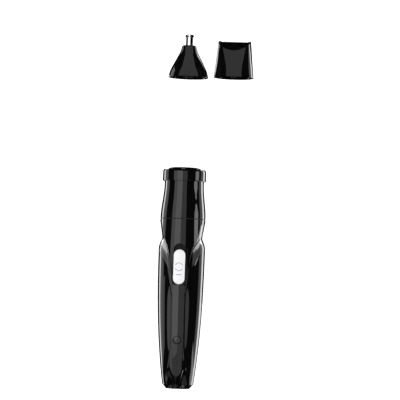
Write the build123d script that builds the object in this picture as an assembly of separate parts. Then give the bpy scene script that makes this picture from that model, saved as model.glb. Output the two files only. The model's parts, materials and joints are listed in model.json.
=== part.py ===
"""Cordless nose hair trimmer with a push-on nose head and a spare detail head.

The handle lies on its back along +Y with its switch facing +Z, and z = 0 is the surface it lies on.
The nose head stands off the collar, in line with the drive shaft that it pushes on to.
The detail head lies on its own back beside it. Every length is in millimetres.
"""

from build123d import *
import math
import os

# ---------------------------------------------------------------- driving dimensions
HANDLE_LENGTH = 146.0        # base plate to the top of the domed spigot
SHELL_START = 2.8            # where the two shells begin, above the base plate
SEAM = 111.7                 # where the shells meet the neck collar
RING_START = 136.8           # lower edge of the collar's ring
RING_END = 143.9             # upper edge of the collar's ring
WALL = 1.6                   # shell wall
BARREL_R = 14.9              # shell radius at the seam
RING_R = 14.3
NECK_R = 12.9                # neck radius just under the ring
SPIGOT_R = 11.2              # the heads push on to this
HEAD_BASE_R = 13.2           # outer radius of both heads at their lower edge
SKIRT_BORE_R = 11.4          # inner radius of both heads' skirts
SOCKET_R = 13.4              # inner radius of the collar's ring
SOCKET_FLOOR = 138.5         # bottom of the groove that the skirts enter
SEAT = 141.4                 # where a head's lower edge stops, along the handle
NOSE_TRAVEL = 64.0           # from where the nose head stands to its seat
NOSE_HEAD_LENGTH = 28.9
BACK_FLAT = 14.6             # the back is flat this far behind the drive axis
TRIM_BACK_FLAT = 13.0        # the same on the detail head
TRIM_HEAD_OFFSET = 30.0      # detail head's axis beside the drive axis
TRIM_HEAD_START = 206.3      # detail head's lower edge, along the handle
SWITCH_TRAVEL = 3.5
RUNNING = 0.08               # radial clearance of a shaft in its bush
DRIVE_HEX = 3.0              # across the flats of a head's drive shaft
ROTOR_R = 1.6                # a head's drive shaft where it runs in its bush
KEY_HALF_WIDTH = 1.0         # ribs in the skirts that enter the spigot's keyways

MAX_HALF_WIDTH = 15.35       # the grips' widest half width
WIDEST = 92.0                # and where it is
TAIL_TAPER = 5.4             # half width lost at the tail
TAIL_DROP = 9.8              # how far the front surface falls towards the tail

# ---------------------------------------------------------------- placing in the row frame
X_SHIFT = -(TRIM_HEAD_OFFSET + HEAD_BASE_R - MAX_HALF_WIDTH) / 2
Y_SHIFT = -(SEAT + NOSE_TRAVEL + NOSE_HEAD_LENGTH) / 2
HANDLE_AT = Pos(X_SHIFT, Y_SHIFT, BACK_FLAT)
NOSE_AT = HANDLE_AT * Pos(0, SEAT + NOSE_TRAVEL, 0)
TRIM_AT = Pos(X_SHIFT + TRIM_HEAD_OFFSET, Y_SHIFT + TRIM_HEAD_START, TRIM_BACK_FLAT)


# ---------------------------------------------------------------- small helpers
def ease(t):
    """0 to 1 with flat ends."""
    t = min(1.0, max(0.0, t))
    return t * t * (3 - 2 * t)


def curve(points, x):
    """A smooth curve through (x, y) points in rising x, level beyond its ends."""
    if x <= points[0][0]:
        return points[0][1]
    if x >= points[-1][0]:
        return points[-1][1]
    i = next(k for k in range(len(points) - 1) if x <= points[k + 1][0])
    (x0, y0), (x1, y1) = points[i], points[i + 1]

    def slope(k):
        a, b = points[max(k - 1, 0)], points[min(k + 1, len(points) - 1)]
        return (b[1] - a[1]) / (b[0] - a[0])

    h = x1 - x0
    t = (x - x0) / h
    rise = (2 * t**3 - 3 * t**2 + 1) * y0 + (3 * t**2 - 2 * t**3) * y1
    return rise + h * ((t**3 - 2 * t**2 + t) * slope(i) + (t**3 - t**2) * slope(i + 1))


def turned(*profile):
    """Solid of revolution about the Y axis from (radius, height) points."""
    face = make_face(Polyline(*[(r, y) for r, y in profile], close=True))
    return revolve(face, Axis.Y)


def rod(radius, start, end, x=0.0, z=0.0):
    """Cylinder along Y."""
    return Pos(x, (start + end) / 2, z) * Rot(90, 0, 0) * Cylinder(radius, end - start)


def rod_z(radius, x, y, z0, z1):
    """Cylinder along Z."""
    return Pos(x, y, (z0 + z1) / 2) * Cylinder(radius, z1 - z0)


def tube(outer, inner, start, end):
    """Round tube along Y."""
    return rod(outer, start, end) - rod(inner, start - 1, end + 1)


def block(x0, x1, y0, y1, z0, z1):
    """Box between two values on each axis."""
    return Pos((x0 + x1) / 2, (y0 + y1) / 2, (z0 + z1) / 2) * Box(x1 - x0, y1 - y0, z1 - z0)


def hex_bar(across_flats, start, end):
    """Hexagonal prism along Y."""
    outline = RegularPolygon(across_flats / 2, 6, major_radius=False)
    return Plane.XZ.offset(-end) * extrude(outline, end - start)


def stadium(width, length, middle, z0, z1):
    """Upright prism with round ends, its length along Y."""
    outline = SlotOverall(length, width, rotation=90)
    return Pos(0, middle, z0) * extrude(outline, z1 - z0)


def wire_run(points, radius, bend):
    """Round wire along straight runs joined by tangent arcs."""
    path = FilletPolyline(*points, radius=bend)
    start = Plane(origin=path @ 0, z_dir=path % 0)
    return sweep(start * Circle(radius), path)


# ---------------------------------------------------------------- the handle's outer surface
# A leaf-shaped valley on each side runs from the waist round to the front and the back. These are its
# upper and lower edges: (degrees from the front or back centre line, height).
VALLEY_TOP = [(18, 66.0), (25, 83.0), (31, 91.6), (42, 97.0), (49, 100.3), (68, 105.5), (90, 109.0)]
VALLEY_FOOT = [(18, 65.0), (22, 70.5), (30, 76.5), (41, 82.0), (57, 88.5), (72, 93.5), (90, 96.5)]
VALLEY_DEPTH = [(18, 0.0), (26, 1.0), (45, 1.7), (90, 1.75)]
VALLEY_TURN = 0.72           # share of the way across at which the valley is deepest
SQUARING = 0.35              # how much squarer than an ellipse the lower body is


def half_width(s):
    if s >= WIDEST:
        return MAX_HALF_WIDTH - (MAX_HALF_WIDTH - BARREL_R) * ease((s - WIDEST) / (SEAM - WIDEST))
    return MAX_HALF_WIDTH - TAIL_TAPER * ((WIDEST - s) / (WIDEST - SHELL_START)) ** 2.4


def front_height(s):
    """Front surface above the drive axis."""
    return BARREL_R - TAIL_DROP * max(0.0, (WIDEST - s) / (WIDEST - SHELL_START)) ** 2


def section_centre(s):
    return (front_height(s) - BARREL_R) / 2


def valley(phi, s):
    """Depth of the side valley, phi in degrees from the front or back centre line."""
    top, foot = curve(VALLEY_TOP, phi), curve(VALLEY_FOOT, phi)
    if phi <= VALLEY_TOP[0][0] or not foot < s < top:
        return 0.0
    across = (top - s) / (top - foot)
    falling = ease(across / VALLEY_TURN)
    rising = 1 - ease((across - VALLEY_TURN) / (1 - VALLEY_TURN))
    return curve(VALLEY_DEPTH, phi) * falling * rising


def handle_radius(theta, s):
    """Distance of the outer surface from the section centre, theta in radians from the front."""
    w, h = half_width(s), (front_height(s) + BARREL_R) / 2
    n = 2.0 + SQUARING * ease((SEAM - s) / 60)
    round_r = (abs(math.sin(theta) / w) ** n + abs(math.cos(theta) / h) ** n) ** (-1 / n)
    phi = abs(math.degrees(math.asin(math.sin(theta))))
    return round_r - valley(phi, s)


def handle_section(s, inset=0.0, count=56):
    """Closed outline of the handle at height s, started at its side."""
    points = []
    for k in range(count):
        theta = math.pi / 2 + 2 * math.pi * k / count
        r = handle_radius(theta, s) - inset
        points.append((r * math.sin(theta), section_centre(s) + r * math.cos(theta)))
    return Plane.XZ.offset(-s) * Wire([Edge.make_spline([Vector(*p) for p in points], periodic=True)])


def handle_loft(heights, inset=0.0):
    return Solid.make_loft([handle_section(s, inset) for s in heights])


SHELL_STATIONS = [
    SHELL_START, 8, 16, 26, 38, 50, 60, 66, 71, 76, 81, 86, 90, 93.5, 96.5, 99.5, 102.5, 106, 109, SEAM]
BELOW_BACK = block(-40, 40, -20, 260, -60, -BACK_FLAT)
TENON_R = BARREL_R - WALL - 0.4      # ring on the shells' upper end that goes inside the collar
TENON_BORE_R = TENON_R - 1.1
TENON_ROOT = SEAM - 3.0
TENON_END = SEAM + 3.2


def outer_body():
    """Both shells as one solid, with the tenon that enters the collar."""
    return handle_loft(SHELL_STATIONS) - BELOW_BACK + rod(TENON_R, SEAM - 10, TENON_END)


def cavity():
    """The room inside the shells, below the tenon's root."""
    stations = [SHELL_START - 1] + [s for s in SHELL_STATIONS[1:] if s < TENON_ROOT - 1] + [TENON_ROOT]
    return handle_loft(stations, inset=WALL)


def tenon_bore():
    return rod(TENON_BORE_R, TENON_ROOT - 4, TENON_END + 1)


def parting_block(front):
    """Everything in front of (or behind) the plane that the two shells part on."""
    tail_z = section_centre(SHELL_START)
    slab = extrude(Plane.YZ * make_face(Polyline(
        (-20, tail_z - 1), (SHELL_START, tail_z), (SEAM, 0), (140, 0), (140, 60), (-20, 60), close=True)),
        40, both=True)
    return slab if front else block(-40, 40, -20, 140, -60, 60) - slab


# ---------------------------------------------------------------- switch, recess and lens places
RECESS = {"width": 8.1, "length": 27.0, "middle": 82.1}
BUTTON = {"width": 7.5, "length": 22.7, "middle": 80.3}
TRAY_TOP = 12.8
TRAY_UNDER = 11.8
LENS_MIDDLE = 32.3
LENS_R = 2.7
BOARD_Z = 4.4
BOARD_THICK = 1.2
SCREW_Y = 15.5
SCREW_BOSS_R = 2.6
SCREW_SHANK_R = 0.85
SCREW_HEAD_R = 1.95
STEM_HALF_WIDTH = 1.4        # the button's stem
STEM_HALF_LENGTH = 2.6


def front_shell(body, hollow):
    tray = stadium(RECESS["width"] + 2.2, RECESS["length"] + 2.2, RECESS["middle"], TRAY_UNDER, 20)
    boss = rod_z(SCREW_BOSS_R, 0, SCREW_Y, section_centre(SCREW_Y) + 0.6, 20)
    shell = (body - (hollow - tray - boss) - tenon_bore()) & parting_block(True)
    shell -= stadium(RECESS["width"], RECESS["length"], RECESS["middle"], TRAY_TOP, 30)
    shell -= block(-STEM_HALF_WIDTH - 0.3, STEM_HALF_WIDTH + 0.3, BUTTON["middle"] - STEM_HALF_LENGTH - 0.6,
                   BUTTON["middle"] + SWITCH_TRAVEL + STEM_HALF_LENGTH + 0.6, 5, 20)
    shell -= rod_z(LENS_R + 0.05, 0, LENS_MIDDLE, 0, 30)
    shell -= rod_z(SCREW_SHANK_R + 0.05, 0, SCREW_Y, -15, front_height(SCREW_Y) - 2.4)
    return shell


def back_shell(body, hollow):
    boss = rod_z(SCREW_BOSS_R, 0, SCREW_Y, -30, section_centre(SCREW_Y) + 0.4)
    shell = (body - (hollow - boss) - tenon_bore()) & parting_block(False)
    shell -= rod_z(SCREW_SHANK_R + 0.3, 0, SCREW_Y, -30, 20)
    shell -= rod_z(SCREW_HEAD_R + 0.2, 0, SCREW_Y, -30, -BACK_FLAT + 2.0)
    return shell


def shell_screw():
    z = -BACK_FLAT
    head = rod_z(SCREW_HEAD_R, 0, SCREW_Y, z + 0.7, z + 1.95)
    shank = rod_z(SCREW_SHANK_R, 0, SCREW_Y, z + 1.9, front_height(SCREW_Y) - 3.4)
    cross = block(-1.3, 1.3, SCREW_Y - 0.2, SCREW_Y + 0.2, z, z + 1.3)
    cross += block(-0.2, 0.2, SCREW_Y - 1.3, SCREW_Y + 1.3, z, z + 1.3)
    return head + shank - cross


# ---------------------------------------------------------------- base plate and charging socket
SOCKET_Z = section_centre(SHELL_START) - 0.4
PORT_HALF_WIDTH = 3.8
PORT_HALF_HEIGHT = 1.35
PORT_SHEET = 0.35            # thickness of the socket's metal


def base_cap():
    """Plate that closes the tail, with a lip inside the shells and the charging port's opening."""
    centre = section_centre(SHELL_START)
    foot = Plane.XZ * Wire([Edge.make_ellipse(7.6, 6.6)]).moved(Location((0, centre, 0)))
    plate = Solid.make_loft([foot, handle_section(SHELL_START - 0.15, inset=0.35)])
    lip = handle_loft([SHELL_START - 0.2, 4.0, 5.8], inset=WALL + 0.12)
    lip -= handle_loft([SHELL_START - 0.5, 4.0, 6.5], inset=WALL + 1.1)
    lip = lip & block(-40, 40, -1, 60, -BACK_FLAT + WALL, 40)
    cap = plate + lip + (handle_loft([1.9, 2.4, SHELL_START + 0.3], inset=WALL + 0.12) & plate_zone())
    return cap - block(-PORT_HALF_WIDTH - 0.2, PORT_HALF_WIDTH + 0.2, -1, 10, SOCKET_Z - PORT_HALF_HEIGHT - 0.15,
                       SOCKET_Z + PORT_HALF_HEIGHT + 0.15)


def plate_zone():
    return block(-40, 40, 1.5, SHELL_START + 0.3, -BACK_FLAT + WALL, 40)


def charge_socket():
    x, z = PORT_HALF_WIDTH, PORT_HALF_HEIGHT
    shell = block(-x, x, 0.4, 6.0, SOCKET_Z - z, SOCKET_Z + z)
    x, z = x - PORT_SHEET, z - PORT_SHEET
    return shell - block(-x, x, 0, 5.6, SOCKET_Z - z, SOCKET_Z + z)


def charge_tongue():
    return block(-2.6, 2.6, 1.0, 5.55, SOCKET_Z - 0.05, SOCKET_Z + 0.65)


def charge_board():
    narrow = block(-5.0, 5.0, 3.2, 12.0, SOCKET_Z - 2.4, SOCKET_Z - 1.4)
    return narrow + block(-6.0, 6.0, 6.0, 12.0, SOCKET_Z - 2.4, SOCKET_Z - 1.4)


# ---------------------------------------------------------------- electrics
BATTERY_R = 7.1
BATTERY_Z = -5.6
BATTERY_START = 24.0
BATTERY_END = 74.0
MOTOR_R = 7.75
MOTOR_START = 101.0
MOTOR_END = 124.0
MOTOR_SHAFT_R = 0.85
MOTOR_SCREW_X = 5.2
TERMINAL_X = 4.5
LEAD_R = 0.45


def battery():
    cell = rod(BATTERY_R, BATTERY_START, BATTERY_END, z=BATTERY_Z)
    return cell + rod(2.6, BATTERY_END - 0.1, BATTERY_END + 1.0, z=BATTERY_Z)


def battery_tabs():
    """Metal strips from the cell's two ends up to the circuit board."""
    low = BATTERY_Z - 3
    front = block(-2.0, 2.0, BATTERY_START - 0.35, BATTERY_START - 0.05, low, BOARD_Z + BOARD_THICK + 0.4)
    rear = block(-2.0, 2.0, BATTERY_END + 1.05, BATTERY_END + 1.35, low, BOARD_Z - 0.05)
    return Compound([front, rear])


def circuit_board():
    board = block(-6.5, 6.5, BATTERY_START, 97.0, BOARD_Z, BOARD_Z + BOARD_THICK)
    chip = block(-2.6, 2.6, 50.0, 55.2, BOARD_Z + BOARD_THICK, BOARD_Z + BOARD_THICK + 1.2)
    coil = rod_z(2.2, 0, 62.0, BOARD_Z + BOARD_THICK, BOARD_Z + BOARD_THICK + 2.0)
    return board + chip + coil


def slide_switch_case():
    top = BOARD_Z + BOARD_THICK
    case = block(-2.2, 2.2, BUTTON["middle"] - 4.3, BUTTON["middle"] + 6.3, top, top + 3.2)
    slot = block(-1.0, 1.0, BUTTON["middle"] - 1.1, BUTTON["middle"] + SWITCH_TRAVEL + 1.1, top + 1.2, 20)
    return case - slot


def indicator_led():
    top = BOARD_Z + BOARD_THICK
    return block(-0.8, 0.8, LENS_MIDDLE - 1.6, LENS_MIDDLE + 1.6, top, top + 1.0)


def indicator_lens(body):
    """Round window whose stem stands close over the light."""
    lens = rod_z(LENS_R, 0, LENS_MIDDLE, front_height(LENS_MIDDLE) - 2.2, 30) & body
    return lens + rod_z(1.8, 0, LENS_MIDDLE, BOARD_Z + BOARD_THICK + 1.2, front_height(LENS_MIDDLE) - 2.1)


def motor_can():
    can = rod(MOTOR_R, MOTOR_START + 3, MOTOR_END) + rod(2.6, MOTOR_END - 0.1, MOTOR_END + 1.4)
    return can - rod(MOTOR_SHAFT_R + 0.1, MOTOR_START, MOTOR_END + 3)


def motor_end_bell():
    bell = rod(MOTOR_R - 0.1, MOTOR_START + 0.4, MOTOR_START + 2.95)
    return bell - rod(MOTOR_SHAFT_R + 0.1, MOTOR_START, MOTOR_END)


def motor_terminals():
    pair = []
    for x in (-TERMINAL_X, TERMINAL_X):
        pair.append(block(x - 0.9, x + 0.9, MOTOR_START - 1.8, MOTOR_START + 0.35, -0.15, 0.15))
    return Compound(pair)


def motor_frame():
    """Carrier that centres the motor inside the neck."""
    outer_r = TENON_BORE_R - 0.1
    frame = tube(outer_r, MOTOR_R + 0.1, 113.0, MOTOR_END + 0.05)
    frame += tube(outer_r, 2.7, MOTOR_END + 0.05, MOTOR_END + 2.0)
    for x in (-MOTOR_SCREW_X, MOTOR_SCREW_X):
        frame -= rod(0.85, MOTOR_END - 1, MOTOR_END + 3, x=x)
    return frame


def motor_screws():
    pair = []
    for x in (-MOTOR_SCREW_X, MOTOR_SCREW_X):
        screw = rod(0.8, MOTOR_END + 0.1, MOTOR_END + 2.05, x=x)
        screw += rod(1.5, MOTOR_END + 2.05, MOTOR_END + 3.0, x=x)
        pair.append(screw - block(x - 1.2, x + 1.2, MOTOR_END + 2.6, MOTOR_END + 4, -0.18, 0.18))
    return Compound(pair)


def motor_leads():
    """Two wires from the motor's terminals to the circuit board."""
    pair = []
    for x in (-TERMINAL_X, TERMINAL_X):
        points = [(x, MOTOR_START - 1.9, 0), (x, 96.5, 0), (x, 94.5, 2.0), (x, 94.5, BOARD_Z - 0.05)]
        pair.append(wire_run(points, LEAD_R, 1.2))
    return Compound(pair)


def charge_leads():
    """Two wires from the charging board to the circuit board."""
    z = SOCKET_Z - 1.35
    pair = []
    for x in (-4.0, 4.0):
        points = [(x, 11.0, z), (x, 11.0, z + 3.0), (x, 19.0, BOARD_Z - 2.0), (x, 27.5, BOARD_Z - 2.0),
                  (x, 27.5, BOARD_Z - 0.05)]
        pair.append(wire_run(points, LEAD_R, 1.0))
    return Compound(pair)


# ---------------------------------------------------------------- switch button
BUTTON_TOP = 15.7
CROWN_ARC_R = 21.3           # radius of the button's crown, across its width


def switch_button():
    """White sliding button with a crowned top and a stem through the shell."""
    cap = stadium(BUTTON["width"], BUTTON["length"], BUTTON["middle"], TRAY_TOP + 0.12, 16.1)
    crown = Pos(0, 0, BUTTON_TOP - CROWN_ARC_R) * Rot(90, 0, 0) * Cylinder(CROWN_ARC_R, 300)
    cap = cap & crown
    stem = block(-STEM_HALF_WIDTH, STEM_HALF_WIDTH, BUTTON["middle"] - STEM_HALF_LENGTH,
                 BUTTON["middle"] + STEM_HALF_LENGTH, 10.6, TRAY_TOP + 0.2)
    return cap + stem


def switch_clip():
    """Plate under the shell that the stem snaps into, with a fork for the switch's peg."""
    plate = block(-3.4, 3.4, BUTTON["middle"] - 5.5, BUTTON["middle"] + 5.5, 10.4, TRAY_UNDER - 0.25)
    plate -= block(-STEM_HALF_WIDTH - 0.02, STEM_HALF_WIDTH + 0.02, BUTTON["middle"] - STEM_HALF_LENGTH - 0.02,
                   BUTTON["middle"] + STEM_HALF_LENGTH + 0.02, 10.58, 20)
    fork = block(-1.6, 1.6, BUTTON["middle"] - 1.7, BUTTON["middle"] + 1.7, 9.1, 10.45)
    return plate + fork - block(-0.85, 0.85, BUTTON["middle"] - 0.85, BUTTON["middle"] + 0.85, 9.0, 10.3)


def switch_peg():
    return block(-0.8, 0.8, BUTTON["middle"] - 0.8, BUTTON["middle"] + 0.8, BOARD_Z + BOARD_THICK + 1.3, 10.2)


# ---------------------------------------------------------------- neck collar and spigot
COLLAR_BORE_R = 11.6         # the spigot stands in this


def neck_outline():
    """The neck's outer profile from the seam to the ring, as (radius, height)."""
    return [(BARREL_R, SEAM + 0.5), (14.75, 116.0), (14.3, 120.5), (13.65, 126.0), (13.1, 131.5),
            (NECK_R, RING_START)]


def neck_collar():
    side = Spline(*neck_outline())
    inner = Spline((COLLAR_BORE_R, 134.0), (12.0, 126.5), (12.6, 120.5), (BARREL_R - WALL, SEAM + 0.5))
    outline = side + Polyline(
        (NECK_R, RING_START), (RING_R - 0.2, RING_START), (RING_R, RING_START + 0.2), (RING_R, RING_END),
        (RING_R - 0.5, RING_END + 0.5), (SOCKET_R, RING_END + 0.6), (SOCKET_R, SOCKET_FLOOR),
        (COLLAR_BORE_R, SOCKET_FLOOR), (COLLAR_BORE_R, 134.0))
    outline = outline + inner + Line((BARREL_R - WALL, SEAM + 0.5), (BARREL_R, SEAM + 0.5))
    return revolve(make_face(outline), Axis.Y) - BELOW_BACK


def collar_gasket():
    """Soft ring that fills the seam between the shells and the collar."""
    return tube(BARREL_R - 0.35, BARREL_R - WALL + 0.02, SEAM + 0.04, SEAM + 0.46)


def head_spigot():
    """Domed cup that the heads push on to, with three keyways and the drive's opening."""
    dome = Spline((SPIGOT_R, 144.3), (10.6, 145.1), (9.4, 145.65), (6.5, 145.95), (4.0, HANDLE_LENGTH))
    outline = dome + Polyline(
        (4.0, HANDLE_LENGTH), (3.6, 145.9), (3.6, 143.4), (9.6, 143.4), (9.6, 129.0), (11.15, 129.0),
        (11.5, 129.3), (11.5, SOCKET_FLOOR), (SPIGOT_R, SOCKET_FLOOR), (SPIGOT_R, 144.3))
    cup = revolve(make_face(outline), Axis.Y)
    keyway = block(-KEY_HALF_WIDTH - 0.25, KEY_HALF_WIDTH + 0.25, SEAT + 0.3, 150, 10.2, 12)
    for k in range(3):
        cup -= Rot(0, 120 * k, 0) * keyway
    return cup


def shaft_seal():
    return tube(5.4, 3.35, 142.2, 143.35)


def motor_shaft():
    return rod(MOTOR_SHAFT_R, MOTOR_START + 0.6, 140.2)


def drive_coupler():
    """Turns with the motor; its hexagonal socket takes a head's drive shaft."""
    coupler = rod(3.2, 135.5, 144.6) + rod(2.3, 132.5, 135.6)
    return coupler - rod(MOTOR_SHAFT_R + 0.02, 130, 140.4) - hex_bar(DRIVE_HEX + 0.3, 140.8, 150)


# ---------------------------------------------------------------- parts that both heads share
def skirt_keys():
    """Three ribs in a head's skirt that enter the spigot's keyways."""
    rib = block(-KEY_HALF_WIDTH, KEY_HALF_WIDTH, 0.4, 3.0, 10.6, 11.9)
    return [Rot(0, 120 * k, 0) * rib for k in range(3)]


def head_core(upper_r, top):
    """Plate inside a head with the tube that the drive shaft's bush sits in."""
    return turned((2.4, 8.0), (upper_r, 8.0), (upper_r - 0.9, 9.6), (3.1, 9.6), (3.1, top), (2.4, top))


def head_bush(top):
    return tube(2.38, ROTOR_R + RUNNING, 8.2, top)


def drive_foot():
    """Hexagonal lower end and collar of a head's drive shaft."""
    return hex_bar(DRIVE_HEX, 0.2, 4.3) + rod(2.4, 4.2, 5.0)


# ---------------------------------------------------------------- nose head
NOSE_OUTLINE = [
    (HEAD_BASE_R, 0.0), (12.95, 1.6), (11.9, 5.0), (10.0, 8.9), (7.75, 13.3), (6.2, 16.3), (5.05, 19.6)]
NOSE_TOP = 21.4
GUARD_R = 2.3
CROWN_R = 2.9


def nose_shell():
    outer = Spline(*NOSE_OUTLINE)
    inner = Spline((4.0, 18.6), (5.2, 15.6), (6.8, 12.0), (8.8, 8.4), (9.9, 6.4), (11.2, 3.6))
    outline = outer + Polyline((5.05, 19.6), (4.75, 20.9), (4.35, NOSE_TOP), (GUARD_R + 0.05, NOSE_TOP),
                               (GUARD_R + 0.05, 19.9), (3.6, 19.9), (4.0, 18.6))
    outline = outline + inner + Polyline((11.2, 3.6), (SKIRT_BORE_R, 3.0), (SKIRT_BORE_R, 0.3),
                                         (SKIRT_BORE_R + 0.3, 0.0), (HEAD_BASE_R, 0.0))
    return revolve(make_face(outline), Axis.Y) + skirt_keys()


def nose_guide():
    """Plastic sleeve between the core and the steel guard."""
    return turned(
        (1.75, 15.05), (3.1, 15.05), (3.1, 19.8), (GUARD_R + 0.03, 19.8), (GUARD_R + 0.03, 16.6), (1.75, 16.6))


def nose_guard():
    """Steel guard tube with a slotted crown."""
    dome = Spline((CROWN_R, 28.0), (2.45, 28.5), (1.5, 28.8), (0.0, NOSE_HEAD_LENGTH))
    outline = Polyline((1.95, 16.7), (GUARD_R, 16.7), (GUARD_R, 26.9), (CROWN_R - 0.1, 27.25), (CROWN_R, 27.45),
                       (CROWN_R, 28.0))
    outline = outline + dome + Polyline((0.0, NOSE_HEAD_LENGTH), (0.0, 28.35), (1.95, 28.35), (1.95, 16.7))
    guard = revolve(make_face(outline), Axis.Y)
    slot = block(-0.2, 0.2, 26.0, 30, 0.7, 4)
    for k in range(10):
        guard -= Rot(0, 36 * k, 0) * slot
    return guard


def nose_rotor_shaft():
    """Drive shaft that carries the cutter up the guard tube."""
    return drive_foot() + rod(ROTOR_R, 4.9, 15.4) + rod(1.3, 15.3, 25.6)


def nose_cutter():
    """Four blades on a hub that turn inside the guard's crown."""
    hub = rod(0.8, 25.65, 27.9)
    blade = block(-1.75, 1.75, 26.2, 28.2, -0.25, 0.25)
    cross = block(-0.25, 0.25, 26.2, 28.2, -1.75, 1.75)
    return hub + blade + cross


def rotor_spring():
    """Spring that holds a head's drive shaft up against its core."""
    path = Pos(0, 5.25, 0) * Rot(-90, 0, 0) * Helix(pitch=0.85, height=2.5, radius=2.05)
    start = Plane(origin=path @ 0, z_dir=path % 0)
    return sweep(start * Circle(0.17), path)


# ---------------------------------------------------------------- detail head
TRIM_TOP = 23.8
ECCENTRIC = 1.0
BLADE_SCREW_X = 7.7
BLADE_SCREW_Y = 16.6
FIXED_HALF_WIDTH = 9.3
FIXED_Z = (-2.75, -1.8)      # back and front of the fixed blade
MOVING_HALF_WIDTH = 7.6
MOVING_Z = (-1.72, -1.0)
EAR_X = 9.9                  # ears either side of the blade
FRONT_FACET = [(18.7, 11.0), (TRIM_TOP, 1.2), (26, -3.0), (40, -3.0), (40, 40), (3.6, 40)]
BACK_FACET = [(15.0, -13.4), (TRIM_TOP, -3.2), (26, -1.0), (40, -1.0), (40, -40), (15.0, -40)]


def trim_section(t, inset=0.0):
    """Section of the detail head: a circle at its foot, narrower and squarer at its top."""
    share = t / 24.2
    a = HEAD_BASE_R - 2.7 * share - inset
    b = HEAD_BASE_R - 1.1 * share - inset
    n = 2.0 + 0.6 * share
    centre = -HEAD_BASE_R + b + inset
    points = []
    for k in range(40):
        theta = math.pi / 2 + 2 * math.pi * k / 40
        r = (abs(math.sin(theta) / a) ** n + abs(math.cos(theta) / b) ** n) ** (-1 / n)
        points.append(Vector(r * math.sin(theta), centre + r * math.cos(theta)))
    return Plane.XZ.offset(-t) * Wire([Edge.make_spline(points, periodic=True)])


def trim_facets():
    """What is cut away in front of and behind the blades."""
    front = make_face(Polyline(*FRONT_FACET, close=True))
    back = make_face(Polyline(*BACK_FACET, close=True))
    return extrude(Plane.YZ * front, 30, both=True) + extrude(Plane.YZ * back, 30, both=True)


def trim_shell():
    heights = [0, 6, 12, 18, TRIM_TOP]
    body = Solid.make_loft([trim_section(t) for t in heights])
    ears = [block(x - 0.8, x + 0.8, 20.5, 24.9, -2.9, 1.0) for x in (-EAR_X, EAR_X)]
    body = body - trim_facets() - block(-40, 40, -5, 60, -60, -TRIM_BACK_FLAT)
    body += ears
    hollow = Solid.make_loft([trim_section(t, inset=1.5) for t in (3.0, 7.0, 12.0, 15.5)])
    hollow = hollow - block(-30, 30, 9.9, 40, 4.5, 40) - block(-30, 30, 9.9, 40, -40, -4.5)
    shell = body - hollow - rod(SKIRT_BORE_R, -1, 3.4)
    shell -= block(-9.35, 9.35, 15.0, 40, -2.85, 0.35)
    shell -= block(-5.7, 5.7, 9.9, 21.5, -3.6, 3.6)
    for x in (-BLADE_SCREW_X, BLADE_SCREW_X):
        shell -= rod_z(0.82, x, BLADE_SCREW_Y, -5.0, -2.8)
    return shell + skirt_keys()


def fixed_blade():
    plate = block(-FIXED_HALF_WIDTH, FIXED_HALF_WIDTH, 15.1, 24.6, *FIXED_Z)
    teeth = blade_teeth(FIXED_HALF_WIDTH, 24.5, 26.3, *FIXED_Z, 1.15)
    for x in (-BLADE_SCREW_X, BLADE_SCREW_X):
        plate -= rod_z(0.85, x, BLADE_SCREW_Y, -4, 0)
    return plate + teeth


def blade_teeth(half, start, end, z0, z1, pitch):
    """A row of pointed teeth along the top of a blade."""
    count = int(2 * half / pitch)
    teeth = []
    for k in range(count):
        x = -half + (k + 0.5) * 2 * half / count
        outline = make_face(Polyline((x - 0.36, start), (x + 0.36, start), (x + 0.3, end - 0.7), (x, end),
                                     (x - 0.3, end - 0.7), close=True))
        teeth.append(Pos(0, 0, z0) * extrude(outline, z1 - z0))
    return teeth


def moving_blade():
    plate = block(-MOVING_HALF_WIDTH, MOVING_HALF_WIDTH, 18.4, 24.4, *MOVING_Z)
    return plate + blade_teeth(MOVING_HALF_WIDTH, 24.3, 25.7, *MOVING_Z, 1.27)


def blade_yoke():
    """Frame round the eccentric pin, with a tongue that carries the moving blade."""
    frame = block(-4.2, 4.2, 13.0, 15.0, -3.3, 3.3) - block(-3.1, 3.1, 12.0, 14.6, -2.1, 2.1)
    return frame + block(-4.2, 4.2, 14.8, 19.2, -0.98, -0.2)


def blade_spring():
    """Leaf that presses the moving blade on to the fixed one."""
    return block(-3.6, 3.6, 19.4, 21.6, -0.95, 0.2) - block(-3.0, 3.0, 19.0, 22, -0.7, -0.05)


def blade_screws():
    pair = []
    for x in (-BLADE_SCREW_X, BLADE_SCREW_X):
        screw = rod_z(0.8, x, BLADE_SCREW_Y, -4.8, -1.7) + rod_z(1.3, x, BLADE_SCREW_Y, -1.78, -1.1)
        pair.append(screw - block(x - 0.9, x + 0.9, BLADE_SCREW_Y - 0.15, BLADE_SCREW_Y + 0.15, -1.4, 0))
    return Compound(pair)


def trim_rotor_shaft():
    """Drive shaft whose eccentric pin swings the moving blade."""
    return drive_foot() + rod(ROTOR_R, 4.9, 11.2) + rod(2.3, 11.1, 12.6) + rod(0.8, 12.5, 14.4, x=ECCENTRIC)


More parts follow.
